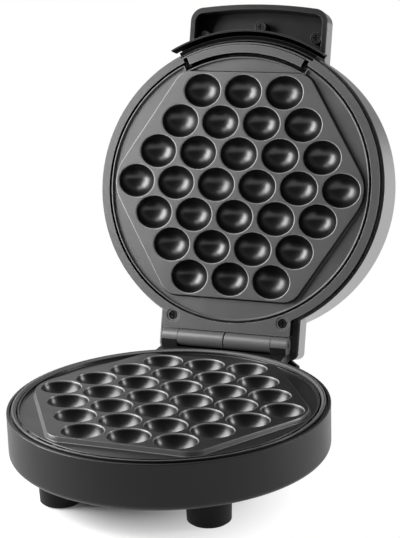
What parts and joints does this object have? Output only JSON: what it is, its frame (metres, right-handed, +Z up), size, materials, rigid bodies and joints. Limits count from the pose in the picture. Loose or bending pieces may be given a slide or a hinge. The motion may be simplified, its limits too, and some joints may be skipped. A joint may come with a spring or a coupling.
{
  "type": "bubble waffle maker",
  "caption": "Countertop bubble waffle maker: round black base on feet, silver hinged lid with a scooped front handle, both with egg-cup cooking plates.",
  "frame": {"origin": "middle of the open appliance's outline in plan, on the surface that its foot pads stand on", "axes": "+Z up; -Y is the front, where the handle comes down; the hinge runs along X"},
  "size_m": [0.214, 0.3258, 0.2845],
  "materials": {
    "housing_plastic": "fine satin moulded, black",
    "trim_plastic": "satin moulded, black",
    "non_stick_coating": "cast, with a dark satin non-stick coating",
    "heater_steel": "heat-tinted steel tube",
    "sheet_steel": "zinc-plated strip",
    "ceramic": "glazed ceramic, off-white",
    "reflector_sheet": "bright sheet",
    "fastener_steel": "plated",
    "shell_metal": "satin silver",
    "rubber_black": "matt",
    "bush_rubber": "matt",
    "fuse_body": "glazed white",
    "terminal_nylon": "natural nylon",
    "thermostat_body": "moulded brown",
    "lens_red": "clear-tinted, red",
    "lens_green": "clear-tinted, green",
    "lamp_plastic": "white moulded"
  },
  "bodies": {
    "base": {"base_housing": "housing_plastic", "base_trim_ring": "trim_plastic", "base_cooking_plate": "non_stick_coating", "base_heating_element": "heater_steel", "base_element_clamps": "sheet_steel", "base_element_beads": "ceramic", "base_heat_reflector": "reflector_sheet", "base_thermal_fuse": "fuse_body", "base_screws": "fastener_steel", "terminal_block": "terminal_nylon", "cord_inlet_bush": "bush_rubber", "hinge_pin": "fastener_steel", "front_left_foot": "housing_plastic", "front_right_foot": "housing_plastic", "rear_left_foot": "housing_plastic", "rear_right_foot": "housing_plastic", "front_left_foot_pad": "rubber_black", "front_right_foot_pad": "rubber_black", "rear_left_foot_pad": "rubber_black", "rear_right_foot_pad": "rubber_black"},
    "lid": {"lid_shell": "shell_metal", "lid_frame": "housing_plastic", "lid_cooking_plate": "non_stick_coating", "lid_heating_element": "heater_steel", "lid_element_clamps": "sheet_steel", "lid_element_beads": "ceramic", "lid_heat_reflector": "reflector_sheet", "lid_plate_screws": "fastener_steel", "lid_thermostat": "thermostat_body", "lid_hinge_bracket": "sheet_steel", "lid_hinge_screws": "fastener_steel", "handle_grip": "housing_plastic", "handle_screws": "fastener_steel", "handle_apron": "housing_plastic", "power_lens": "lens_red", "ready_lens": "lens_green", "lamp_holder": "lamp_plastic"}
  },
  "joints": [
    {"name": "lid_hinge", "type": "hinge", "parent": "base", "child": "lid", "pos_m": [0, 0.05449, 0.0545], "axis": [1, 0, 0], "range_deg": [0, 106.5]}
  ]
}
